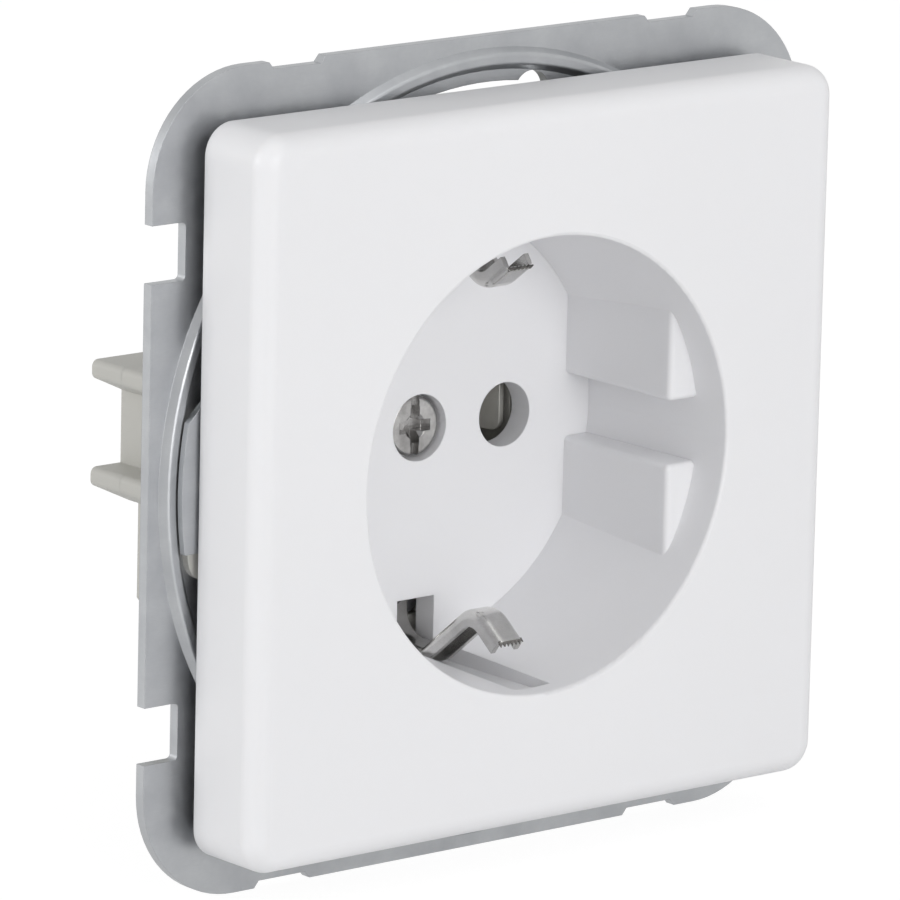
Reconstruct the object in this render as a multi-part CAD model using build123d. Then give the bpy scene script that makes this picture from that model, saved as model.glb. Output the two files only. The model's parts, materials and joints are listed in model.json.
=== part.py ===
from build123d import *
from math import cos, radians, sin, sqrt
import os

# Flush-mounted earthed wall socket, in millimetres.
# X points right and Z up as seen from the room, and Y points into the wall.
# The origin is the centre of the support ring's back face, which lies on the wall.

# Support ring, a pressed sheet-steel frame
RING_SIDE = 71.0
RING_THICKNESS = 1.0
RING_CORNER_RADIUS = 9.75
RING_OPENING_CLEARANCE = 0.2
SIDE_NOTCH_DEPTH = 3.5
SIDE_NOTCH_WIDTH = 4.95
EDGE_NOTCH_DEPTH = 0.6
EDGE_NOTCH_WIDTH = 5.0
EDGE_NOTCH_BEVEL = 0.5
SIDE_NOTCH_CORNER = 0.4
NOTCH_OFFSET = 20.5
BEAD_RADIUS = 33.45
BEAD_WIDTH = 1.9
BEAD_CREST = 0.9
BEAD_HEIGHT = 0.7
BEAD_ROUNDING = 0.35
BEAD_GROOVE_WIDTH = 1.2
BEAD_GROOVE_BOTTOM = 0.5
SCREW_CIRCLE_RADIUS = 30.0
SCREW_SLOT_WIDTH = 3.0
SCREW_SLOT_START = -32.0
SCREW_SLOT_END = 9.4
KEYHOLE_RADIUS = 1.9
KEYHOLE_OUTSET = 0.55

# Cover, one moulding with the plug well
COVER_SIDE = 62.8
COVER_DEPTH = 8.0
COVER_TO_RING = 9.65
COVER_CORNER_RADIUS = 2.75
COVER_EDGE_RADIUS = 1.8
COVER_SKIRT = 1.6
COVER_FACE = 2.4
COVER_RIB_WIDTH = 1.2
COVER_RIB_HEIGHT = 2.6
COVER_RIB_COUNT = 8

# Plug well
WELL_RIM_RADIUS = 19.8
WELL_RIM_ROUNDING = 0.3
WELL_TAPER = 0.7
WELL_DEPTH = 17.5
WELL_WALL = 1.8
WELL_FLOOR = 2.4
GUIDE_FLAT = 16.4
GUIDE_SETBACK = 3.7
GUIDE_SLOT = 5.6
GUIDE_EDGE_RADIUS = 0.5
PIN_SPACING = 19.0
PIN_HOLE_RADIUS = 2.85
CLIP_POCKET_WIDTH = 4.1
CLIP_POCKET_BEHIND_WELL = 0.7
CLIP_POCKET_SPAN = 5.4
CLIP_POCKET_SETBACK = 1.8
CLIP_POCKET_ROOM = 0.12
BOSS_RADIUS = 3.9
BOSS_HEIGHT = 1.0

# Cover screw
HEAD_RADIUS = 2.65
HEAD_HEIGHT = 1.7
HEAD_SUNK = 0.6
HEAD_ROUNDING = 0.35
HEAD_CLEARANCE = 0.3
SCREW_RADIUS = 1.5
SCREW_LENGTH = 9.5
DRIVE_SLOT_WIDTH = 0.9
DRIVE_SLOT_DEPTH = 0.8
DRIVE_CROSS_WIDTH = 1.0
DRIVE_CROSS_SPAN = 3.4
DRIVE_CROSS_DEPTH = 1.3
DRIVE_CENTRE_RADIUS = 1.15

# Socket base
BASE_RADIUS = 25.0
BASE_DEPTH = 6.0
CUP_CLEARANCE = 0.5
CUP_WALL = 2.0
FLANGE_THICKNESS = 0.8
FLANGE_OVERLAP = 2.2
LUG_REACH = 32.3
LUG_BOTTOM = 7.6
LUG_TOP = 7.0
LUG_CORNER_RADIUS = 2.0
LOWER_FLAT = 20.0
UPPER_FLAT = 14.0
UPPER_FLAT_START = 6.6
CLAW_WALL = 22.0
UPPER_FIN_TOP = 6.6
LOWER_FIN_TOP = -2.8
FIN_REACH = 25.2
FIN_ROOT = 3.0
FIN_TIP = 1.5
FIN_ROUNDING = 0.6
FIN_OVERLAP = 1.0
FIN_START = 4.0

# Rear housing
HOUSING_DEPTH = 4.1
BLOCK_HALF_WIDTH = 14.0
BLOCK_TOP = 5.0
BLOCK_BOTTOM = 8.6
BLOCK_DEPTH = 6.6
BLOCK_EDGE_RADIUS = 1.5
PIN_LENGTH = 19.0
PIN_END_ROOM = 0.4

# Side plates
PLATE_THICKNESS = 0.6
PLATE_REACH = 33.0
PLATE_CLEARANCE = 1.6
PLATE_BOTTOM = 5.0
PLATE_TOP = 8.2
PLATE_CHAMFER = 2.6
CLAW_SCREW_RADIUS = 1.7
CLAW_SCREW_PLACE = 26.7
CLAW_SCREW_HEIGHT = 0.9
RIVET_PLACE = 27.8
RIVET_SPREAD = 3.6
RIVET_RADIUS = 1.0
RIVET_HEAD_RADIUS = 1.5
RIVET_HEAD_FLAT = 0.9
RIVET_HEAD_HEIGHT = 0.35

# Earth bracket and clips
BRACKET_WIDTH = 6.4
BRACKET_THICKNESS = 1.2
BRACKET_CORNER_RADIUS = 1.6
BRACKET_INSET = 3.1
BRACKET_COLLAR_RADIUS = 2.5
BRACKET_COLLAR_DEPTH = 2.6
CLIP_WIDTH = 3.0
CLIP_SHEET = 0.45
CLIP_FLANGE = 1.45
CLIP_ROUNDING = 0.8
CLIP_FOOT_SPAN = 7.9
CLIP_FOOT_BEND = 2.5
CLIP_FOOT_OVERLAP = 1.0
CLIP_RISE_TO_FLOOR = 2.3
CLIP_RISE_RADIUS = 1.2
CLIP_APEX = 13.6
CLIP_APEX_BEHIND_FACE = 8.3
CLIP_APEX_RADIUS = 2.7
CLIP_TIP = 16.3
CLIP_TIP_BEHIND_FACE = 4.7
CLIP_RIVET_INSET = 5.4
CLIP_RIVET_RADIUS = 0.8
CLIP_RIVET_HEAD_RADIUS = 1.25
CLIP_RIVET_HEAD_HEIGHT = 0.3

# Line and neutral contacts
CONTACT_SHEET = 0.6
CONTACT_GAP = 4.2
CONTACT_THROAT = 3.8
CONTACT_FLARE = 4.9
CONTACT_TOP = 2.4
CONTACT_BOTTOM = 3.1
CONTACT_LIP = 0.3
CONTACT_THROAT_PLACE = 2.6
CONTACT_LENGTH = 12.0
CONTACT_CORNER_RADIUS = 0.9
CONTACT_BEND_RADIUS = 1.0
TAIL_WIDTH = 4.0
TAIL_SHEET = 0.6
TAIL_BEHIND_TERMINAL = 0.3
CHAMBER_CLEARANCE = 0.3
SPRING_WIDTH = 3.0
SPRING_SHEET = 0.5
SPRING_PLACE = 3.9

# Terminals
TERMINAL_WIDTH = 6.4
TERMINAL_EDGE_RADIUS = 0.6
TERMINAL_DEPTH = 5.4
TERMINAL_WALL = 0.7
TERMINAL_TUNNEL = 4.4
TERMINAL_NUT = 1.6
TERMINAL_PLACE = 13.5
EARTH_TERMINAL_PLACE = 9.4
TERMINAL_FRONT = 3.0
WIRE_HOLE_RADIUS = 1.6
CLAMP_SCREW_RADIUS = 1.5
CLAMP_HEAD_RADIUS = 2.0
CLAMP_HEAD_HEIGHT = 1.4
CLAMP_HEAD_CHAMFER = 0.3
CLAMP_HEAD_LIFT = 0.7
CLAMP_SCREW_REACH = 1.0
CLAMP_SLOT_WIDTH = 0.8
CLAMP_SLOT_DEPTH = 0.7
FIT = 0.15

# Screws that hold the housing to the base
HOUSING_SCREW_RADIUS = 1.1
HOUSING_SCREW_HEAD_RADIUS = 2.1
HOUSING_SCREW_HEAD_HEIGHT = 1.3
HOUSING_SCREW_LENGTH = 6.0
HOUSING_SCREW_TIP = 0.6
HOUSING_SLOT_WIDTH = 0.8
HOUSING_SLOT_DEPTH = 0.6
HOUSING_SCREW_X = 10.5
HOUSING_SCREW_Z = 16.4
LOWER_HOUSING_SCREW_Z = -19.0

# Places along Y that follow from the sizes above
ring_front = -RING_THICKNESS
cover_front = ring_front - COVER_TO_RING
cover_back = cover_front + COVER_DEPTH
well_floor = cover_front + WELL_DEPTH
well_floor_back = well_floor + WELL_FLOOR
base_floor = well_floor_back + BOSS_HEIGHT
base_back = base_floor + BASE_DEPTH
housing_back = base_back + HOUSING_DEPTH
block_back = housing_back + BLOCK_DEPTH
flange_front = ring_front - FLANGE_THICKNESS
plate_front = flange_front - PLATE_THICKNESS
bracket_back = base_floor + BRACKET_THICKNESS
terminal_start = base_floor + TERMINAL_FRONT
terminal_end = terminal_start + TERMINAL_DEPTH
contact_start = base_floor + CONTACT_LIP
contact_end = contact_start + CONTACT_LENGTH
pin_end = well_floor + PIN_LENGTH
head_front = well_floor + HEAD_SUNK
head_seat = head_front + HEAD_HEIGHT
screw_end = head_seat + SCREW_LENGTH
pin_place = PIN_SPACING / 2
well_outer_radius = WELL_RIM_RADIUS + WELL_WALL
tail_bend_radius = TAIL_BEHIND_TERMINAL + TAIL_SHEET / 2
tail_place = terminal_end + tail_bend_radius
cup_inner_radius = well_outer_radius + CUP_CLEARANCE
cup_outer_radius = cup_inner_radius + CUP_WALL
ring_opening_radius = cup_outer_radius + RING_OPENING_CLEARANCE
plate_inner = well_outer_radius + PLATE_CLEARANCE
pocket_reach = WELL_RIM_RADIUS + CLIP_POCKET_BEHIND_WELL
bracket_reach = pocket_reach - BRACKET_INSET
clip_rivet_place = pocket_reach - CLIP_RIVET_INSET
clip_rail = pocket_reach - CLIP_POCKET_ROOM - CLIP_FLANGE + CLIP_SHEET / 2
clip_rise = well_floor - CLIP_RISE_TO_FLOOR


def slab(outline, y_from, y_to):
    """Solid of an outline drawn in X and Z, between two places along Y."""
    plane = Plane(origin=(0, y_to, 0), x_dir=(1, 0, 0), z_dir=(0, -1, 0))
    return extrude(plane * outline, amount=y_to - y_from)


def turned(points, x=0.0, z=0.0):
    """Solid of revolution about a line along Y, from (radius, y) points."""
    return Pos(x, 0, z) * revolve(make_face(Polyline(*points, close=True)), axis=Axis.Y)


def rod(radius, y_from, y_to, x=0.0, z=0.0):
    """Round bar along Y."""
    return slab(Pos(x, z) * Circle(radius), y_from, y_to)


def box(x_from, x_to, y_from, y_to, z_from, z_to):
    """Box between two corners."""
    size = (x_to - x_from, y_to - y_from, z_to - z_from)
    middle = ((x_from + x_to) / 2, (y_from + y_to) / 2, (z_from + z_to) / 2)
    return Pos(*middle) * Box(*size)


def mirrored(shape):
    """The same shape on the other side of the socket's middle plane."""
    return mirror(shape, about=Plane.YZ)


def upside_down(shape):
    """The same shape turned half a turn about the socket's axis."""
    return Rot(0, 180, 0) * shape


def ring_outline():
    outline = RectangleRounded(RING_SIDE, RING_SIDE, RING_CORNER_RADIUS)
    half = RING_SIDE / 2
    side_notch = Rectangle(2 * SIDE_NOTCH_DEPTH, SIDE_NOTCH_WIDTH)
    side_notch = fillet(side_notch.vertices(), SIDE_NOTCH_CORNER)
    mouth = EDGE_NOTCH_WIDTH / 2
    edge_notch = make_face(Polyline(
        (-mouth - EDGE_NOTCH_BEVEL, 0), (-mouth, -EDGE_NOTCH_DEPTH), (mouth, -EDGE_NOTCH_DEPTH),
        (mouth + EDGE_NOTCH_BEVEL, 0), (mouth + EDGE_NOTCH_BEVEL, EDGE_NOTCH_DEPTH),
        (-mouth - EDGE_NOTCH_BEVEL, EDGE_NOTCH_DEPTH), close=True))
    for place in (-NOTCH_OFFSET, NOTCH_OFFSET):
        outline -= Pos(half, place) * side_notch
        outline -= Pos(-half, place) * side_notch
        outline -= Pos(place, half) * edge_notch
        outline -= Pos(place, -half) * Rot(0, 0, 180) * edge_notch
    return outline


def screw_slot():
    """Arc slot with a keyhole at its end, over the upper box screw."""
    arc = CenterArc((0, 0), SCREW_CIRCLE_RADIUS, 90 - SCREW_SLOT_END, SCREW_SLOT_END - SCREW_SLOT_START)
    slot = SlotArc(arc, SCREW_SLOT_WIDTH)
    turn = radians(SCREW_SLOT_END)
    reach = SCREW_CIRCLE_RADIUS + KEYHOLE_OUTSET
    return slot + Pos(reach * sin(turn), reach * cos(turn)) * Circle(KEYHOLE_RADIUS)


def bead_profile(width, crest, face, rise):
    """Trapezium of (radius, y) points, which stands out of the plane y = face by rise."""
    return [(BEAD_RADIUS - width / 2, face), (BEAD_RADIUS - crest / 2, face - rise),
            (BEAD_RADIUS + crest / 2, face - rise), (BEAD_RADIUS + width / 2, face)]


def support_ring():
    outline = ring_outline() - Circle(ring_opening_radius)
    slot = screw_slot()
    outline = outline - slot - Rot(0, 0, 180) * slot
    for side in (-1, 1):
        for x, z in rivet_places():
            outline -= Pos(side * x, z) * Circle(RIVET_RADIUS)
        outline -= Pos(side * CLAW_SCREW_PLACE, CLAW_SCREW_HEIGHT) * Circle(CLAW_SCREW_RADIUS)
    ring = slab(outline, ring_front, 0)
    ridge = turned(bead_profile(BEAD_WIDTH, BEAD_CREST, ring_front, BEAD_HEIGHT))
    crest_edges = ridge.edges().filter_by_position(Axis.Y, ring_front - BEAD_HEIGHT - 0.01,
                                                   ring_front - BEAD_HEIGHT + 0.01)
    ridge = fillet(crest_edges, BEAD_ROUNDING)
    groove = turned(bead_profile(BEAD_GROOVE_WIDTH, BEAD_GROOVE_BOTTOM, 0, BEAD_HEIGHT))
    return ring + ridge - groove


def well_radius(y):
    """Radius of the tapered well at a place along Y."""
    return WELL_RIM_RADIUS - WELL_TAPER * (y - cover_front) / WELL_DEPTH


def guide_block(side):
    """Upper half of a guide: the well is flat here, from the floor up to a ledge."""
    front = cover_front + GUIDE_SETBACK
    reach = WELL_RIM_RADIUS + WELL_WALL / 2
    top = sqrt(reach ** 2 - GUIDE_FLAT ** 2)
    block = box(GUIDE_FLAT, reach, front, well_floor + WELL_FLOOR / 2, GUIDE_SLOT / 2, top)
    inner = block.edges().filter_by_position(Axis.X, GUIDE_FLAT - 0.01, GUIDE_FLAT + 0.01)
    lower = inner.filter_by(Axis.Y).sort_by(Axis.Z)[0]
    ledge = inner.filter_by(Axis.Z).sort_by(Axis.Y)[0]
    shelf = block.edges().filter_by(Axis.X).group_by(Axis.Z)[0].sort_by(Axis.Y)[0]
    block = fillet([lower, ledge, shelf], GUIDE_EDGE_RADIUS) & rod(reach, front, well_floor_back)
    return block if side > 0 else mirrored(block)


def cover():
    shell = slab(RectangleRounded(COVER_SIDE, COVER_SIDE, COVER_CORNER_RADIUS), cover_front, cover_back)
    front_edges = shell.faces().sort_by(Axis.Y)[0].edges()
    shell = fillet(front_edges, COVER_EDGE_RADIUS)
    inside = COVER_SIDE - 2 * COVER_SKIRT
    inside_corner = COVER_CORNER_RADIUS - COVER_SKIRT
    inside_front = cover_front + COVER_FACE
    shell -= slab(RectangleRounded(inside, inside, inside_corner), inside_front, cover_back)

    rib_inner = well_radius(inside_front) + WELL_WALL / 2
    rib = box(rib_inner, COVER_SIDE / 2 - COVER_SKIRT / 2, inside_front - COVER_FACE / 2,
              inside_front + COVER_RIB_HEIGHT, -COVER_RIB_WIDTH / 2, COVER_RIB_WIDTH / 2)
    for index in range(COVER_RIB_COUNT):
        shell += Rot(0, 360 / COVER_RIB_COUNT * (index + 0.5), 0) * rib

    tube_front = cover_front + COVER_FACE / 2
    tube = turned([(0, tube_front), (well_radius(cover_front) + WELL_WALL, tube_front),
                   (well_radius(well_floor) + WELL_WALL, well_floor_back), (0, well_floor_back)])
    bore = turned([(0, cover_front), (WELL_RIM_RADIUS, cover_front),
                   (well_radius(well_floor), well_floor), (0, well_floor)])
    body = shell + tube - bore
    rim = body.edges().group_by(Axis.Y)[0].filter_by(GeomType.CIRCLE).group_by(SortBy.RADIUS)[-1]
    body = fillet(rim, WELL_RIM_ROUNDING)
    for side in (-1, 1):
        block = guide_block(side)
        body = body + block + mirror(block, about=Plane.XY)
        body -= rod(PIN_HOLE_RADIUS, well_floor, well_floor_back, x=side * pin_place)

    body += rod(BOSS_RADIUS, well_floor_back - WELL_FLOOR / 2, base_floor)
    body -= rod(HEAD_RADIUS + HEAD_CLEARANCE, well_floor, head_seat)
    body -= rod(SCREW_RADIUS + HEAD_CLEARANCE, head_seat, base_floor)
    pocket = box(-CLIP_POCKET_WIDTH / 2, CLIP_POCKET_WIDTH / 2, cover_front + CLIP_POCKET_SETBACK,
                 well_floor_back, pocket_reach - CLIP_POCKET_SPAN, pocket_reach)
    return body - pocket - mirror(pocket, about=Plane.XY)


def cover_screw():
    """Screw with a domed head, a slot across it and a cross recess in the middle."""
    head = turned([(0, head_front), (HEAD_RADIUS, head_front), (HEAD_RADIUS, head_seat),
                   (SCREW_RADIUS, head_seat), (SCREW_RADIUS, screw_end - SCREW_RADIUS / 2),
                   (SCREW_RADIUS / 2, screw_end), (0, screw_end)])
    rim = head.faces().sort_by(Axis.Y)[0].edges()
    head = fillet(rim, HEAD_ROUNDING)
    slot = box(-DRIVE_SLOT_WIDTH / 2, DRIVE_SLOT_WIDTH / 2, head_front, head_front + DRIVE_SLOT_DEPTH,
               -HEAD_RADIUS, HEAD_RADIUS)
    cross = box(-DRIVE_CROSS_SPAN / 2, DRIVE_CROSS_SPAN / 2, head_front, head_front + DRIVE_CROSS_DEPTH,
                -DRIVE_CROSS_WIDTH / 2, DRIVE_CROSS_WIDTH / 2)
    centre = turned([(0, head_front), (DRIVE_CENTRE_RADIUS, head_front),
                     (0, head_front + DRIVE_CROSS_DEPTH)])
    return head - slot - cross - Rot(0, 90, 0) * cross - centre


def body_outline():
    """Outline that base and housing share: a circle with flats, and walls for the claws."""
    claw_top = UPPER_FIN_TOP
    claw_bottom = LOWER_FIN_TOP - FIN_ROOT
    reach = 2 * BASE_RADIUS
    lower = Pos(0, (UPPER_FLAT_START - reach) / 2) * Rectangle(2 * LOWER_FLAT, UPPER_FLAT_START + reach)
    upper = Pos(0, (UPPER_FLAT_START + reach) / 2) * Rectangle(2 * UPPER_FLAT, reach - UPPER_FLAT_START)
    claw = Pos(0, (claw_top + claw_bottom) / 2) * Rectangle(2 * CLAW_WALL, claw_top - claw_bottom)
    return Circle(BASE_RADIUS) & (lower + upper + claw)


def fin_outline(top):
    """Wedge that guides a claw: flat on top, sloping underneath, thin at its tip."""
    root = CLAW_WALL - FIN_OVERLAP
    slope = (FIN_ROOT - FIN_TIP) / (FIN_REACH - CLAW_WALL)
    wedge = make_face(Polyline((-root, top), (-FIN_REACH, top), (-FIN_REACH, top - FIN_TIP),
                               (-root, top - FIN_ROOT - slope * FIN_OVERLAP), close=True))
    tip = wedge.vertices().sort_by(Axis.X)[0:2]
    return fillet(tip, FIN_ROUNDING)


def fins(y_from, y_to):
    """The two fins on each side."""
    outline = fin_outline(UPPER_FIN_TOP) + fin_outline(LOWER_FIN_TOP)
    left = slab(outline, y_from, y_to)
    return left + mirrored(left)


def lug_outline():
    """Left lug of the base: it reaches out to the bead of the ring."""
    reach = LUG_REACH + LUG_CORNER_RADIUS
    lug = Circle(LUG_REACH) & (Pos(-(reach + cup_inner_radius) / 2, (LUG_TOP - LUG_BOTTOM) / 2)
                               * Rectangle(reach - cup_inner_radius, LUG_TOP + LUG_BOTTOM))
    corners = lug.vertices().sort_by(Axis.X)[0:2]
    return fillet(corners, LUG_CORNER_RADIUS)


def rivet_places():
    """Middles of the rivets in the left lug, in X and Z."""
    lower = (-RIVET_PLACE, CLAW_SCREW_HEIGHT - RIVET_SPREAD)
    upper = (-RIVET_PLACE, CLAW_SCREW_HEIGHT + RIVET_SPREAD)
    return [lower, upper]


def chambers():
    """Space for one contact and its spring, on the right."""
    half = CONTACT_GAP / 2 + CONTACT_SHEET + SPRING_SHEET + CHAMBER_CLEARANCE
    room = CHAMBER_CLEARANCE + SPRING_SHEET
    return box(pin_place - half, pin_place + half, base_floor, pin_end + PIN_END_ROOM,
               -CONTACT_BOTTOM - room, CONTACT_TOP + CHAMBER_CLEARANCE)


def tail_slot():
    """Space for the tail of the right contact, down to its terminal."""
    half = TAIL_WIDTH / 2 + FIT
    return box(pin_place - half, pin_place + half, terminal_end, tail_place + TAIL_SHEET / 2 + FIT,
               -TERMINAL_PLACE - TERMINAL_WALL - TAIL_SHEET - FIT, -CONTACT_BOTTOM)


def terminal_space(x, wall_z, direction):
    """Pocket, wire hole and screw shaft of a terminal; direction is the way its screw points."""
    height = TERMINAL_WALL + TERMINAL_TUNNEL + TERMINAL_NUT
    half = TERMINAL_WIDTH / 2 + FIT
    near = wall_z - direction * FIT
    far = wall_z + direction * (height + FIT)
    pocket = box(x - half, x + half, terminal_start - FIT, terminal_end + FIT,
                 min(near, far), max(near, far))
    wire_z = wall_z + direction * (TERMINAL_WALL + (TERMINAL_TUNNEL + TAIL_SHEET) / 2)
    wire = rod(WIRE_HOLE_RADIUS, terminal_end, housing_back, x=x, z=wire_z)
    middle = (terminal_start + terminal_end) / 2
    shaft = Pos(x, middle, wall_z + direction * height) * Rot(0 if direction > 0 else 180, 0, 0)
    shaft = shaft * Pos(0, 0, BASE_RADIUS / 2) * Cylinder(CLAMP_HEAD_RADIUS + FIT, BASE_RADIUS)
    return pocket + wire + shaft


def inner_spaces():
    """Everything that base and housing leave free for the metal parts."""
    right = chambers() + tail_slot()
    space = right + mirrored(right)
    for side in (-1, 1):
        space += terminal_space(side * pin_place, -TERMINAL_PLACE, -1)
    space += terminal_space(0, EARTH_TERMINAL_PLACE, 1)
    tail_z = EARTH_TERMINAL_PLACE + TERMINAL_WALL
    space += box(-TAIL_WIDTH / 2 - FIT, TAIL_WIDTH / 2 + FIT, bracket_back, terminal_end,
                 tail_z - FIT, tail_z + TAIL_SHEET + FIT)
    half = BRACKET_WIDTH / 2 + FIT
    space += box(-half, half, base_floor, bracket_back, -bracket_reach - FIT, bracket_reach + FIT)
    space += rod(BRACKET_COLLAR_RADIUS + FIT, bracket_back, bracket_back + BRACKET_COLLAR_DEPTH + FIT)
    space += rod(SCREW_RADIUS + FIT, bracket_back, screw_end + FIT)
    rivet_room = bracket_back + CLIP_RIVET_HEAD_HEIGHT + FIT
    for z in (-clip_rivet_place, clip_rivet_place):
        space += rod(CLIP_RIVET_HEAD_RADIUS + FIT, bracket_back, rivet_room, z=z)
    seat = housing_back - HOUSING_SCREW_HEAD_HEIGHT
    for x, z in housing_screw_places():
        space += rod(HOUSING_SCREW_HEAD_RADIUS + FIT, seat, housing_back, x, z)
        space += rod(HOUSING_SCREW_RADIUS + FIT, seat - HOUSING_SCREW_LENGTH, housing_back, x, z)
    return space


def housing_screw_places():
    upper = [(-HOUSING_SCREW_X, HOUSING_SCREW_Z), (HOUSING_SCREW_X, HOUSING_SCREW_Z)]
    return upper + [(0, LOWER_HOUSING_SCREW_Z)]


def socket_base():
    floor = slab(body_outline(), base_floor, base_back)
    bore = Circle(cup_inner_radius)
    cup = slab(Circle(cup_outer_radius) - bore, flange_front, base_floor + BASE_DEPTH / 2)
    flange = slab(Circle(ring_opening_radius + FLANGE_OVERLAP) - bore, flange_front, ring_front)
    lug = slab(lug_outline() - bore, flange_front, ring_front)
    body = floor + cup + flange + lug + mirrored(lug) + fins(FIN_START, base_back)
    for side in (-1, 1):
        body -= rod(CLAW_SCREW_RADIUS, flange_front, ring_front, side * CLAW_SCREW_PLACE, CLAW_SCREW_HEIGHT)
        for x, z in rivet_places():
            body -= rod(RIVET_RADIUS, flange_front, ring_front, side * x, z)
    return body - rod(cup_inner_radius, flange_front, base_floor) - inner_spaces()


def rear_housing():
    body = slab(body_outline(), base_back, housing_back)
    block = box(-BLOCK_HALF_WIDTH, BLOCK_HALF_WIDTH, base_back, block_back, -BLOCK_BOTTOM, BLOCK_TOP)
    back_edges = block.faces().sort_by(Axis.Y)[-1].edges()
    block = fillet(back_edges, BLOCK_EDGE_RADIUS)
    return body + block + fins(base_back, housing_back) - inner_spaces()


def side_plate():
    """Left plate, which clamps the lug of the base to the ring."""
    outside = PLATE_REACH + PLATE_CHAMFER
    plate = Circle(PLATE_REACH) & make_face(Polyline(
        (-plate_inner, -PLATE_BOTTOM), (-plate_inner, PLATE_TOP), (-PLATE_REACH + PLATE_CHAMFER, PLATE_TOP),
        (-outside, PLATE_TOP - 2 * PLATE_CHAMFER), (-outside, -PLATE_BOTTOM), close=True))
    plate -= Pos(-CLAW_SCREW_PLACE, CLAW_SCREW_HEIGHT) * Circle(CLAW_SCREW_RADIUS)
    for x, z in rivet_places():
        plate -= Pos(x, z) * Circle(RIVET_RADIUS)
    return slab(plate, plate_front, flange_front)


def plate_rivet(x, z):
    head_front = plate_front - RIVET_HEAD_HEIGHT
    return turned([(0, head_front), (RIVET_HEAD_FLAT, head_front), (RIVET_HEAD_RADIUS, plate_front),
                   (RIVET_RADIUS, plate_front), (RIVET_RADIUS, 0), (0, 0)], x, z)


def earth_bracket():
    strap_outline = RectangleRounded(BRACKET_WIDTH, 2 * bracket_reach, BRACKET_CORNER_RADIUS)
    strap = slab(strap_outline, base_floor, bracket_back)
    collar = rod(BRACKET_COLLAR_RADIUS, base_floor, bracket_back + BRACKET_COLLAR_DEPTH)
    tail_z = EARTH_TERMINAL_PLACE + TERMINAL_WALL
    tail = box(-TAIL_WIDTH / 2, TAIL_WIDTH / 2, bracket_back - BRACKET_THICKNESS / 2, terminal_end - FIT,
               tail_z, tail_z + TAIL_SHEET)
    body = strap + collar + tail - rod(SCREW_RADIUS, base_floor, bracket_back + BRACKET_COLLAR_DEPTH)
    for z in (-clip_rivet_place, clip_rivet_place):
        body -= rod(CLIP_RIVET_RADIUS, base_floor, bracket_back, z=z)
    return body


def earth_clip():
    """Upper earth clip: a foot on the bracket, then a channel that bends in towards the plug."""
    foot_y = base_floor - CLIP_SHEET / 2
    foot_path = FilletPolyline((foot_y, pocket_reach - CLIP_FOOT_SPAN), (foot_y, clip_rail),
                               (well_floor - CLIP_FOOT_OVERLAP, clip_rail), radius=CLIP_FOOT_BEND)
    foot = extrude(Plane.YZ * trace(foot_path, CLIP_SHEET), amount=CLIP_WIDTH / 2, both=True)
    foot -= rod(CLIP_RIVET_RADIUS, foot_y - CLIP_SHEET, base_floor, z=clip_rivet_place)

    rise = (clip_rise, clip_rail)
    apex = (cover_front + CLIP_APEX_BEHIND_FACE, CLIP_APEX)
    tip = (cover_front + CLIP_TIP_BEHIND_FACE, CLIP_TIP)
    path = Polyline((well_floor, clip_rail), rise, apex, tip)
    path = fillet(path.vertices().sort_by_distance(rise)[0], CLIP_RISE_RADIUS)
    path = fillet(path.vertices().sort_by_distance(apex)[0], CLIP_APEX_RADIUS)
    half = CLIP_WIDTH / 2
    section = make_face(Polyline(
        (-half, -CLIP_SHEET / 2), (half, -CLIP_SHEET / 2), (half, CLIP_FLANGE - CLIP_SHEET / 2),
        (half - CLIP_SHEET, CLIP_FLANGE - CLIP_SHEET / 2), (half - CLIP_SHEET, CLIP_SHEET / 2),
        (-half + CLIP_SHEET, CLIP_SHEET / 2), (-half + CLIP_SHEET, CLIP_FLANGE - CLIP_SHEET / 2),
        (-half, CLIP_FLANGE - CLIP_SHEET / 2), close=True))
    outer = section.vertices().group_by(Axis.Y)[0]
    section = fillet(outer, CLIP_ROUNDING)
    start = Plane(origin=(0, well_floor, clip_rail), x_dir=(1, 0, 0), z_dir=(0, -1, 0))
    return foot + sweep(start * section, path=Plane.YZ * path)


def clip_rivet():
    """Upper clip rivet, with a head on the foot and one behind the bracket."""
    front = base_floor - CLIP_SHEET
    head_front = front - CLIP_RIVET_HEAD_HEIGHT
    head_back = bracket_back + CLIP_RIVET_HEAD_HEIGHT
    return turned([(0, head_front), (CLIP_RIVET_RADIUS, head_front), (CLIP_RIVET_HEAD_RADIUS, front),
                   (CLIP_RIVET_RADIUS, front), (CLIP_RIVET_RADIUS, bracket_back),
                   (CLIP_RIVET_HEAD_RADIUS, bracket_back), (CLIP_RIVET_RADIUS, head_back),
                   (0, head_back)], 0, clip_rivet_place)


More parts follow.
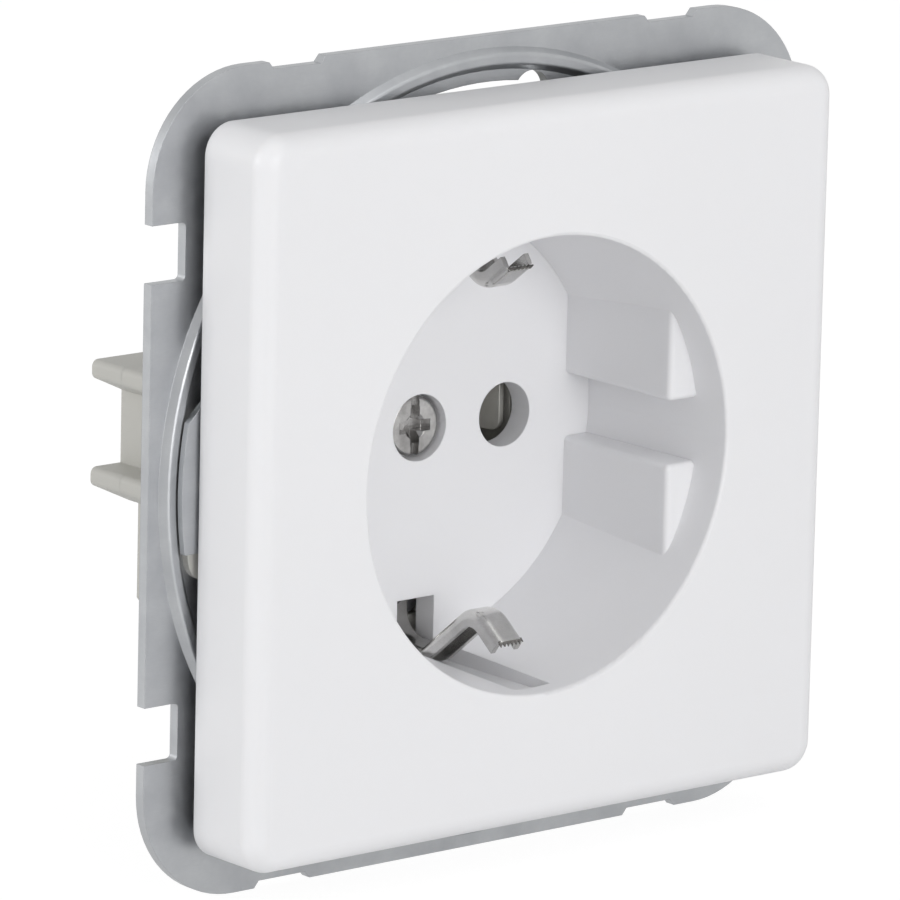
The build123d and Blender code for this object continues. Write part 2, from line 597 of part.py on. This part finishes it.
def contact():
    """Right contact: two sprung leaves on a web, with a tail bent into the terminal."""
    middle = CONTACT_SHEET / 2
    leaf_path = FilletPolyline(
        (pin_place + CONTACT_GAP / 2 + middle, contact_end),
        (pin_place + CONTACT_GAP / 2 + middle, contact_start + 2 * CONTACT_THROAT_PLACE),
        (pin_place + CONTACT_THROAT / 2 + middle, contact_start + CONTACT_THROAT_PLACE),
        (pin_place + CONTACT_FLARE / 2 + middle, contact_start), radius=CONTACT_BEND_RADIUS)
    leaf = Pos(0, 0, -CONTACT_BOTTOM + CONTACT_SHEET) * extrude(
        trace(leaf_path, CONTACT_SHEET), amount=CONTACT_TOP + CONTACT_BOTTOM - CONTACT_SHEET)
    mouth = leaf.faces().sort_by(Axis.Y)[0].edges()
    corners = mouth.filter_by(Axis.Z, reverse=True)
    leaf = fillet(corners, CONTACT_CORNER_RADIUS)
    other = mirror(leaf, about=Plane(origin=(pin_place, 0, 0), z_dir=(1, 0, 0)))
    half = CONTACT_GAP / 2 + CONTACT_SHEET
    web = box(pin_place - half, pin_place + half, contact_start + 2 * CONTACT_THROAT_PLACE, contact_end,
              -CONTACT_BOTTOM, -CONTACT_BOTTOM + CONTACT_SHEET)
    seat = -TERMINAL_PLACE - TERMINAL_WALL - TAIL_SHEET / 2
    tail_path = FilletPolyline((tail_place, -CONTACT_BOTTOM), (tail_place, seat),
                               (terminal_start + FIT, seat), radius=tail_bend_radius)
    tail = extrude(Plane.YZ * trace(tail_path, TAIL_SHEET), amount=TAIL_WIDTH / 2, both=True)
    return leaf + other + web + Pos(pin_place, 0, 0) * tail


def backing_spring():
    """Steel spring round the right contact."""
    inner = CONTACT_GAP / 2 + CONTACT_SHEET
    outer = inner + SPRING_SHEET
    start = contact_start + SPRING_PLACE
    end = start + SPRING_WIDTH
    below = -CONTACT_BOTTOM - SPRING_SHEET
    body = box(pin_place - outer, pin_place + outer, start, end, below, CONTACT_TOP)
    return body - box(pin_place - inner, pin_place + inner, start, end, -CONTACT_BOTTOM, CONTACT_TOP)


def terminal(x, wall_z, direction):
    """Clamp body: a short tube with a thick wall that takes the clamp screw."""
    height = TERMINAL_WALL + TERMINAL_TUNNEL + TERMINAL_NUT
    ends = sorted((wall_z, wall_z + direction * height))
    body = box(x - TERMINAL_WIDTH / 2, x + TERMINAL_WIDTH / 2, terminal_start, terminal_end, *ends)
    body = fillet(body.edges().filter_by(Axis.Y), TERMINAL_EDGE_RADIUS)
    tunnel_start = wall_z + direction * TERMINAL_WALL
    tunnel = sorted((tunnel_start, tunnel_start + direction * TERMINAL_TUNNEL))
    half = TERMINAL_WIDTH / 2 - TERMINAL_WALL
    body -= box(x - half, x + half, terminal_start, terminal_end, *tunnel)
    middle = (terminal_start + terminal_end) / 2
    hole_length = 2 * TERMINAL_NUT + TERMINAL_TUNNEL
    return body - Pos(x, middle, wall_z + direction * height) * Cylinder(CLAMP_SCREW_RADIUS, hole_length)


def terminal_screw(x, wall_z, direction):
    """Clamp screw with a slotted head, drawn upright and turned over for a downward terminal."""
    nut_face = TERMINAL_WALL + TERMINAL_TUNNEL + TERMINAL_NUT
    tip = nut_face - TERMINAL_NUT - CLAMP_SCREW_REACH
    head = nut_face + CLAMP_HEAD_LIFT
    upright = (Align.CENTER, Align.CENTER, Align.MIN)
    screw = Pos(0, 0, tip) * Cylinder(CLAMP_SCREW_RADIUS, head - tip, align=upright)
    cap = Pos(0, 0, head) * Cylinder(CLAMP_HEAD_RADIUS, CLAMP_HEAD_HEIGHT, align=upright)
    cap = chamfer(cap.edges().group_by(Axis.Z)[-1], CLAMP_HEAD_CHAMFER)
    slot = Pos(0, 0, head + CLAMP_HEAD_HEIGHT) * Box(CLAMP_SLOT_WIDTH, 2 * CLAMP_HEAD_RADIUS,
                                                     2 * CLAMP_SLOT_DEPTH)
    middle = (terminal_start + terminal_end) / 2
    turn = Rot(0, 0, 0) if direction > 0 else Rot(180, 0, 0)
    return Pos(x, middle, wall_z) * turn * (screw + cap - slot)


def housing_screw(x, z):
    """Screw from the back, which holds the housing to the base."""
    seat = housing_back - HOUSING_SCREW_HEAD_HEIGHT
    end = seat - HOUSING_SCREW_LENGTH
    screw = turned([(0, housing_back), (HOUSING_SCREW_HEAD_RADIUS, housing_back),
                    (HOUSING_SCREW_HEAD_RADIUS, seat), (HOUSING_SCREW_RADIUS, seat),
                    (HOUSING_SCREW_RADIUS, end + HOUSING_SCREW_TIP),
                    (HOUSING_SCREW_RADIUS - HOUSING_SCREW_TIP, end), (0, end)])
    slot = box(-HOUSING_SLOT_WIDTH / 2, HOUSING_SLOT_WIDTH / 2, housing_back - HOUSING_SLOT_DEPTH,
               housing_back, -HOUSING_SCREW_HEAD_RADIUS, HOUSING_SCREW_HEAD_RADIUS)
    return Pos(x, 0, z) * (screw - slot - Rot(0, 90, 0) * slot)


def all_parts():
    parts = {
        "support_ring": support_ring(),
        "cover": cover(),
        "cover_screw": cover_screw(),
        "socket_base": socket_base(),
        "rear_housing": rear_housing(),
        "earth_bracket": earth_bracket(),
        "upper_earth_clip": earth_clip(),
        "lower_earth_clip": upside_down(earth_clip()),
        "upper_clip_rivet": clip_rivet(),
        "lower_clip_rivet": upside_down(clip_rivet()),
        "left_side_plate": side_plate(),
        "right_side_plate": mirrored(side_plate()),
        "neutral_contact": contact(),
        "line_contact": mirrored(contact()),
        "neutral_backing_spring": backing_spring(),
        "line_backing_spring": mirrored(backing_spring()),
        "neutral_terminal": terminal(pin_place, -TERMINAL_PLACE, -1),
        "line_terminal": terminal(-pin_place, -TERMINAL_PLACE, -1),
        "earth_terminal": terminal(0, EARTH_TERMINAL_PLACE, 1),
        "neutral_terminal_screw": terminal_screw(pin_place, -TERMINAL_PLACE, -1),
        "line_terminal_screw": terminal_screw(-pin_place, -TERMINAL_PLACE, -1),
        "earth_terminal_screw": terminal_screw(0, EARTH_TERMINAL_PLACE, 1),
    }
    for side, word in ((1, "left"), (-1, "right")):
        for (x, z), height in zip(rivet_places(), ("lower", "upper")):
            parts[f"{word}_plate_{height}_rivet"] = plate_rivet(side * x, z)
    for (x, z), word in zip(housing_screw_places(), ("left", "right", "lower")):
        parts[f"{word}_housing_screw"] = housing_screw(x, z)
    return parts


os.makedirs("parts", exist_ok=True)
for name, shape in all_parts().items():
    export_step(shape, f"parts/{name}.step")
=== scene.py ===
import json
from math import cos, radians, sin

import bmesh
import bpy
from mathutils import Matrix, Vector


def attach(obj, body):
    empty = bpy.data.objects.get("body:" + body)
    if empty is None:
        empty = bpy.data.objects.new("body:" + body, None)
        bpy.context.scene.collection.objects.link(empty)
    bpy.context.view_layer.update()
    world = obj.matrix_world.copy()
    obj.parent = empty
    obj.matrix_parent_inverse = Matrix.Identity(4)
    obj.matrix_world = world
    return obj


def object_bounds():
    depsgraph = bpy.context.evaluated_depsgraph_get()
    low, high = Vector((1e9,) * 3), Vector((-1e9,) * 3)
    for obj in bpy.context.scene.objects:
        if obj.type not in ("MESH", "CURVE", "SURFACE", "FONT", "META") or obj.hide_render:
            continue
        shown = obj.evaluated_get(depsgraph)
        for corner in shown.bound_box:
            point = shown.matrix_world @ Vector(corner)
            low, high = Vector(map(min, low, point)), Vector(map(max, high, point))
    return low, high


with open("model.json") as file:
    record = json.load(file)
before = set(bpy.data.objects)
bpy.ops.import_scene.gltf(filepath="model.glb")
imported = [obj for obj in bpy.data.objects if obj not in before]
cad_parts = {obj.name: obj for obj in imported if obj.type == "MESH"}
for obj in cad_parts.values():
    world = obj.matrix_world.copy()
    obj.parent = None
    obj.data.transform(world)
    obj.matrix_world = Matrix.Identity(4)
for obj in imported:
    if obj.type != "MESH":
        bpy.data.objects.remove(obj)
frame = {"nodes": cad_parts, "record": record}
cad_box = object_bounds()
nodes = frame["nodes"]

# Camera, in metres and degrees. Azimuth and elevation are measured from the socket's own axis.
CAMERA_AZIMUTH = 39.79
CAMERA_ELEVATION = 12.95
CAMERA_ROLL = 1.36
CAMERA_DISTANCE = 0.742
CAMERA_AIM = (-0.00639, -0.00499, 0.00114)
CAMERA_LENS = 351.1
CAMERA_SENSOR = 36.0
CAMERA_NEAR = 0.05
CAMERA_FAR = 20.0

# Light
WHITE = (1, 1, 1, 1)
BACKGROUND_LEVEL = 1.0
WORLD_LEVEL = 0.42
REFLECTED_LEVEL = 0.8
LAMPS = {
    # name: (azimuth, elevation, size in metres, watts)
    "key_light": (8.0, 10.0, 0.6, 4.3),
    "top_light": (5.0, 60.0, 0.6, 1.3),
    "left_light": (112.0, 17.0, 0.6, 3.6),
}
LAMP_DISTANCE = 1.0

# Floor
FLOOR_SIZE = 6.0
FLOOR_COLOUR = (0.9, 0.9, 0.9, 1)
FLOOR_SHADE = (0.88, 0.88, 0.88, 1)
FLOOR_ROUGHNESS = 0.9
FLOOR_CLOUD_SCALE = 4.0
FLOOR_GLOW = 1.1
FLOOR_SEEN_SHARE = 0.85
FLOOR_REFLECTED_SHARE = 0.5

# Rounded edges of all materials
BEVEL_SAMPLES = 4
EDGE_RADIUS = 0.00012
EDGE_STARTS = 0.995
EDGE_FULL = 0.85

# Plastic: scales of the noises, in waves per metre, and how far light soaks in
PLASTIC_CLOUD_SCALE = 40
PLASTIC_SHEEN_SCALE = 90
PLASTIC_PEEL_SCALE = 220
PLASTIC_GRAIN_SCALE = 2600
PLASTIC_SHEEN_SPREAD = 0.03
PLASTIC_SPECULAR = 0.5
PLASTIC_SOAK = 0.15
PLASTIC_SOAK_COLOURS = (1.0, 0.95, 0.9)
PLASTIC_SOAK_DEPTH = 0.0006

# Sheet metal: scales of the noises, in waves per metre
METAL_CLOUD_SCALE = 260
METAL_FINE_SCALE = 1500
METAL_PATCH_SCALE = 900
METAL_STREAK_SCALE = 1200
METAL_PIT_SCALE = 5000
METAL_FINE_SHARE = 0.35
# Least share of the painted edge highlight or edge shade
METAL_LEAST_EDGE_PAINT = 0.2
METAL_SHEEN_SPREAD = 0.06
STREAKS_UPRIGHT = (1, 1, 6)
STREAKS_NONE = (1, 1, 1)

# Sheared end of an earth clip, in metres: its middle, the sheet's direction there and its burr
CLIP_END_Y = -0.00595
CLIP_END_Z = 0.0163
CLIP_END_FORWARD = 0.8
CLIP_END_OUTWARD = 0.6
BURR_HALF_WIDTH = 0.00125
BURR_LENGTH = 0.00038
BURR_SHORTEST = 0.2
BURR_ROOT = 0.00015
BURR_THICKNESS = 0.0003
BURR_CREST_THICKNESS = 0.4
BURR_LEAN = 0.00012
BURR_STEPS = 22
BURR_TOOTH_TURN = 2.3
BURR_SWELL_TURN = 0.9
BURR_SWELL_START = 0.4
BURR_LEAN_TURN = 1.7

# Sockets of the colour form of the mix node, which share their names with its other forms
MIX_SHARE, MIX_FIRST, MIX_SECOND, MIX_RESULT = 0, 6, 7, 2
# and of its number form
LEVEL_SHARE, LEVEL_FIRST, LEVEL_SECOND, LEVEL_RESULT = 0, 2, 3, 0


def linear(red, green, blue):
    """Scene colour of an 8-bit screen colour."""
    def one(value):
        share = value / 255
        return share / 12.92 if share <= 0.04045 else ((share + 0.055) / 1.055) ** 2.4
    return (one(red), one(green), one(blue), 1.0)


class Material:
    """A node material with a principled shader, and short ways to add nodes."""

    def __init__(self, name):
        self.material = bpy.data.materials.new(name)
        self.material.use_nodes = True
        self.tree = self.material.node_tree
        self.shader = self.tree.nodes["Principled BSDF"]
        self.place = self.add("ShaderNodeTexCoord").outputs["Object"]

    def add(self, kind, **inputs):
        node = self.tree.nodes.new(kind)
        for key, value in inputs.items():
            self.put(node, key, value)
        return node

    def put(self, node, key, value):
        """Links a socket to another one, or gives it a value."""
        socket = node.inputs[key]
        if isinstance(value, bpy.types.NodeSocket):
            self.tree.links.new(value, socket)
        else:
            socket.default_value = value

    def set(self, key, value):
        self.put(self.shader, key, value)

    def noise(self, scale, detail, roughness=0.5, stretch=STREAKS_NONE):
        place = self.place
        if stretch != STREAKS_NONE:
            place = self.add("ShaderNodeMapping", Vector=place, Scale=stretch).outputs["Vector"]
        node = self.add("ShaderNodeTexNoise", Vector=place, Scale=scale, Detail=detail,
                        Roughness=roughness)
        return node.outputs["Fac"]

    def spread(self, value, low, high, to_low=0.0, to_high=1.0):
        """Maps the range from low to high onto another one, and holds what lies outside."""
        node = self.add("ShaderNodeMapRange", Value=value)
        for key, number in (("From Min", low), ("From Max", high),
                            ("To Min", to_low), ("To Max", to_high)):
            self.put(node, key, number)
        return node.outputs["Result"]

    def multiply(self, first, second):
        node = self.tree.nodes.new("ShaderNodeMath")
        node.operation = "MULTIPLY"
        self.put(node, 0, first)
        self.put(node, 1, second)
        return node.outputs[0]

    def mix(self, share, first, second):
        node = self.tree.nodes.new("ShaderNodeMix")
        node.data_type = "RGBA"
        self.put(node, MIX_SHARE, share)
        self.put(node, MIX_FIRST, first)
        self.put(node, MIX_SECOND, second)
        return node.outputs[MIX_RESULT]

    def bump(self, height, distance, under):
        node = self.add("ShaderNodeBump", Height=height, Distance=distance, Strength=1.0,
                        Normal=under)
        return node.outputs["Normal"]

    def rounded(self, radius):
        """Normal that rounds sharp edges off, and a mask that is 1 on those edges."""
        bevel = self.add("ShaderNodeBevel", Radius=radius)
        bevel.samples = BEVEL_SAMPLES
        plain = self.add("ShaderNodeNewGeometry").outputs["Normal"]
        turn = self.tree.nodes.new("ShaderNodeVectorMath")
        turn.operation = "DOT_PRODUCT"
        self.put(turn, 0, bevel.outputs["Normal"])
        self.put(turn, 1, plain)
        return bevel.outputs["Normal"], self.spread(turn.outputs["Value"], EDGE_STARTS, EDGE_FULL)


def plastic(name, colour, shade, roughness, peel, grain):
    """Moulded plastic: faint clouding, soft orange peel, fine grain, and light that soaks in."""
    made = Material(name)
    made.set("Base Color", made.mix(made.noise(PLASTIC_CLOUD_SCALE, 0), colour, shade))
    made.set("Roughness", made.spread(made.noise(PLASTIC_SHEEN_SCALE, 1), 0, 1,
                                      roughness - PLASTIC_SHEEN_SPREAD,
                                      roughness + PLASTIC_SHEEN_SPREAD))
    made.set("Specular IOR Level", PLASTIC_SPECULAR)
    made.set("Subsurface Weight", PLASTIC_SOAK)
    made.set("Subsurface Radius", PLASTIC_SOAK_COLOURS)
    made.set("Subsurface Scale", PLASTIC_SOAK_DEPTH)
    soft_edge, _ = made.rounded(EDGE_RADIUS)
    soft = made.bump(made.noise(PLASTIC_PEEL_SCALE, 0), peel, soft_edge)
    made.set("Normal", made.bump(made.noise(PLASTIC_GRAIN_SCALE, 2), grain, soft))
    return made.material


def sheet_metal(name, colour, shade, roughness, streak, pits, along=STREAKS_UPRIGHT,
                painted_edge_share=0.35, painted_edge_gain=1.25, metallic=1.0, edge=EDGE_RADIUS):
    """Rolled or plated sheet: clouds, drawn streaks, small pits, and sharp edges tinted in random
    patches: lighter as a painted edge highlight, darker as painted edge shade."""
    made = Material(name)
    cloud = made.spread(made.noise(METAL_CLOUD_SCALE, 4, 0.6), 0.35, 0.68)
    fine = made.spread(made.noise(METAL_FINE_SCALE, 3, 0.6, along), 0.3, 0.7)
    tint = made.mix(cloud, colour, shade)
    tint = made.mix(made.spread(fine, 0, 1, 0.0, METAL_FINE_SHARE), tint, shade)
    soft_edge, on_edge = made.rounded(edge)
    # Painted edge light: along sharp edges the colour is scaled up (painted highlight) or down
    # (painted shade), in patches
    edge_paint_patches = made.spread(made.noise(METAL_PATCH_SCALE, 3, 0.6), 0.35, 0.65,
                          METAL_LEAST_EDGE_PAINT * painted_edge_share, painted_edge_share)
    painted_edge_colour = tuple(min(1.0, channel * painted_edge_gain) for channel in colour[:3]) + (1.0,)
    made.set("Base Color", made.mix(made.multiply(on_edge, edge_paint_patches), tint, painted_edge_colour))
    made.set("Metallic", metallic)
    made.set("Roughness", made.spread(made.noise(METAL_PATCH_SCALE, 4, 0.65), 0.3, 0.7,
                                      roughness - METAL_SHEEN_SPREAD,
                                      roughness + METAL_SHEEN_SPREAD))
    drawn = made.bump(made.noise(METAL_STREAK_SCALE, 3, 0.6, along), streak, soft_edge)
    made.set("Normal", made.bump(made.noise(METAL_PIT_SCALE, 2), pits, drawn))
    return made.material


# Edge gains above 1 paint an edge highlight, below 1 paint edge shade
materials = {
    "cover_plastic": plastic(
        "cover_plastic", linear(237, 237, 239), linear(235, 235, 237), 0.40,
        peel=1e-6, grain=1e-7),
    "base_plastic": plastic(
        "base_plastic", linear(202, 201, 196), linear(195, 194, 188), 0.50,
        peel=3e-6, grain=1.5e-6),
    "zinc_steel": sheet_metal(
        "zinc_steel", linear(192, 194, 196), linear(180, 182, 185), 0.40,
        streak=4e-6, pits=2.5e-6, painted_edge_share=0.7, painted_edge_gain=0.6, edge=0.00008),
    "nickel_screw": sheet_metal(
        "nickel_screw", linear(206, 205, 204), linear(140, 138, 137), 0.18,
        streak=1.2e-5, pits=4e-6, along=STREAKS_NONE),
    "nickel_spring": sheet_metal(
        "nickel_spring", linear(224, 223, 221), linear(190, 189, 187), 0.17,
        streak=4e-6, pits=1.5e-6, painted_edge_share=0.7, painted_edge_gain=0.5, metallic=0.95),
    "sheared_nickel": sheet_metal(
        "sheared_nickel", linear(136, 134, 131), linear(92, 90, 88), 0.42,
        streak=8e-6, pits=5e-6, along=STREAKS_NONE, painted_edge_share=0.6, painted_edge_gain=0.7),
    # Pale, half metallic contact: its colour is lightened to stand in for light reaching into the
    # pin hole (painted light)
    "nickel_bronze": sheet_metal(
        "nickel_bronze", linear(232, 231, 226), linear(220, 218, 212), 0.42,
        streak=2e-6, pits=1e-6, metallic=0.5),
    "spring_steel": sheet_metal(
        "spring_steel", linear(170, 170, 170), linear(146, 146, 148), 0.38,
        streak=3e-6, pits=1e-6),
    "terminal_brass": sheet_metal(
        "terminal_brass", linear(214, 186, 120), linear(190, 160, 96), 0.30,
        streak=3e-6, pits=1e-6),
}


def dress_nodes():
    """Gives every CAD node the material of its slot in the record."""
    for part in frame["record"]["subparts"]:
        node = nodes[part["node"]]
        node.data.materials.clear()
        node.data.materials.append(materials[part["material_slot"]])


def torn_end(name, side):
    """Ragged burr that the shear left on the end of an earth clip; side is 1 for the upper
    clip and -1 for the lower one."""
    along = Vector((0.0, -CLIP_END_FORWARD, side * CLIP_END_OUTWARD))
    outward = Vector((0.0, CLIP_END_OUTWARD, side * CLIP_END_FORWARD))
    thick = outward * BURR_THICKNESS / 2
    shape = bmesh.new()
    rows = []
    for step in range(BURR_STEPS + 1):
        across = (2 * step / BURR_STEPS - 1) * BURR_HALF_WIDTH
        middle = Vector((across, CLIP_END_Y, side * CLIP_END_Z))
        ripple = abs(sin(BURR_TOOTH_TURN * step + side)
                     * sin(BURR_SWELL_TURN * step + BURR_SWELL_START))
        reach = BURR_LENGTH * (BURR_SHORTEST + (1 - BURR_SHORTEST) * ripple)
        lean = outward * BURR_LEAN * sin(BURR_LEAN_TURN * step)
        root = middle - along * BURR_ROOT
        crest = middle + along * reach + lean
        corners = (root - thick, crest - thick * BURR_CREST_THICKNESS,
                   crest + thick * BURR_CREST_THICKNESS, root + thick)
        rows.append([shape.verts.new(corner) for corner in corners])
    for first, second in zip(rows, rows[1:]):
        for corner in range(4):
            after = (corner + 1) % 4
            shape.faces.new((first[corner], first[after], second[after], second[corner]))
    shape.faces.new(rows[0][::-1])
    shape.faces.new(rows[-1])
    bmesh.ops.recalc_face_normals(shape, faces=shape.faces)
    mesh = bpy.data.meshes.new(name)
    shape.to_mesh(mesh)
    shape.free()
    mesh.materials.append(materials["sheared_nickel"])
    piece = bpy.data.objects.new(name, mesh)
    bpy.context.scene.collection.objects.link(piece)
    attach(piece, "root")


def make_camera():
    azimuth = radians(CAMERA_AZIMUTH)
    elevation = radians(CAMERA_ELEVATION)
    roll = radians(CAMERA_ROLL)
    forward = Vector((sin(azimuth) * cos(elevation), cos(azimuth) * cos(elevation),
                      -sin(elevation)))
    level = Vector((cos(azimuth), -sin(azimuth), 0.0))
    upright = level.cross(forward)
    right = level * cos(roll) + upright * sin(roll)
    up = upright * cos(roll) - level * sin(roll)
    data = bpy.data.cameras.new("camera")
    data.lens = CAMERA_LENS
    data.sensor_width = CAMERA_SENSOR
    data.clip_start = CAMERA_NEAR
    data.clip_end = CAMERA_FAR
    camera = bpy.data.objects.new("camera", data)
    turn = Matrix((right, up, -forward)).transposed().to_4x4()
    place = Vector(CAMERA_AIM) - forward * CAMERA_DISTANCE
    camera.matrix_world = Matrix.Translation(place) @ turn
    bpy.context.scene.collection.objects.link(camera)
    bpy.context.scene.camera = camera


def make_lamps():
    """Round soft lamps, each aimed at the origin."""
    for name, (azimuth, elevation, size, watts) in LAMPS.items():
        data = bpy.data.lights.new(name, "AREA")
        data.shape = "DISK"
        data.size = size
        data.energy = watts
        lamp = bpy.data.objects.new(name, data)
        turn, rise = radians(azimuth), radians(elevation)
        place = Vector((-sin(turn) * cos(rise), -cos(turn) * cos(rise), sin(rise)))
        lamp.location = place * LAMP_DISTANCE
        lamp.rotation_mode = "QUATERNION"
        lamp.rotation_quaternion = place.to_track_quat("Z", "Y")
        bpy.context.scene.collection.objects.link(lamp)


def level_by_ray(tree, camera, reflected, other):
    """A value that differs for camera rays, for reflections and for all other light."""
    path = tree.nodes.new("ShaderNodeLightPath")
    mirror = tree.nodes.new("ShaderNodeMath")
    mirror.operation = "MAXIMUM"
    tree.links.new(path.outputs["Is Glossy Ray"], mirror.inputs[0])
    tree.links.new(path.outputs["Is Transmission Ray"], mirror.inputs[1])
    by_reflection = tree.nodes.new("ShaderNodeMix")
    tree.links.new(mirror.outputs[0], by_reflection.inputs[LEVEL_SHARE])
    by_reflection.inputs[LEVEL_FIRST].default_value = other
    by_reflection.inputs[LEVEL_SECOND].default_value = reflected
    by_camera = tree.nodes.new("ShaderNodeMix")
    tree.links.new(path.outputs["Is Camera Ray"], by_camera.inputs[LEVEL_SHARE])
    tree.links.new(by_reflection.outputs[LEVEL_RESULT], by_camera.inputs[LEVEL_FIRST])
    by_camera.inputs[LEVEL_SECOND].default_value = camera
    return by_camera.outputs[LEVEL_RESULT]


def make_world():
    """Even light, with a white background for the camera and a pale one for reflections."""
    world = bpy.data.worlds.new("world")
    bpy.context.scene.world = world
    world.use_nodes = True
    tree = world.node_tree
    background = tree.nodes["Background"]
    background.inputs["Color"].default_value = WHITE
    level = level_by_ray(tree, BACKGROUND_LEVEL, REFLECTED_LEVEL, WORLD_LEVEL)
    tree.links.new(level, background.inputs["Strength"])


def make_floor():
    """Pale floor that glows for the camera, so that it is white and keeps a faint shadow."""
    mesh = bpy.data.meshes.new("floor")
    half = FLOOR_SIZE / 2
    height = cad_box[0].z
    corners = [(-half, -half, height), (half, -half, height),
               (half, half, height), (-half, half, height)]
    mesh.from_pydata(corners, [], [(0, 1, 2, 3)])
    floor = bpy.data.objects.new("floor", mesh)
    bpy.context.scene.collection.objects.link(floor)
    made = Material("floor")
    clouds = made.spread(made.noise(FLOOR_CLOUD_SCALE, 2), 0.3, 0.7)
    made.set("Base Color", made.mix(clouds, FLOOR_COLOUR, FLOOR_SHADE))
    made.set("Roughness", FLOOR_ROUGHNESS)
    made.set("Specular IOR Level", 0.0)
    glow = made.add("ShaderNodeEmission", Color=WHITE, Strength=FLOOR_GLOW)
    both = made.add("ShaderNodeMixShader")
    made.put(both, 0, level_by_ray(made.tree, FLOOR_SEEN_SHARE, FLOOR_REFLECTED_SHARE, 0.0))
    made.put(both, 1, made.shader.outputs["BSDF"])
    made.put(both, 2, glow.outputs["Emission"])
    made.put(made.tree.nodes["Material Output"], "Surface", both.outputs["Shader"])
    mesh.materials.append(made.material)


dress_nodes()
torn_end("upper_clip_burr", 1)
torn_end("lower_clip_burr", -1)
make_world()
make_lamps()
make_floor()
make_camera()
bpy.context.scene.view_settings.view_transform = "Standard"
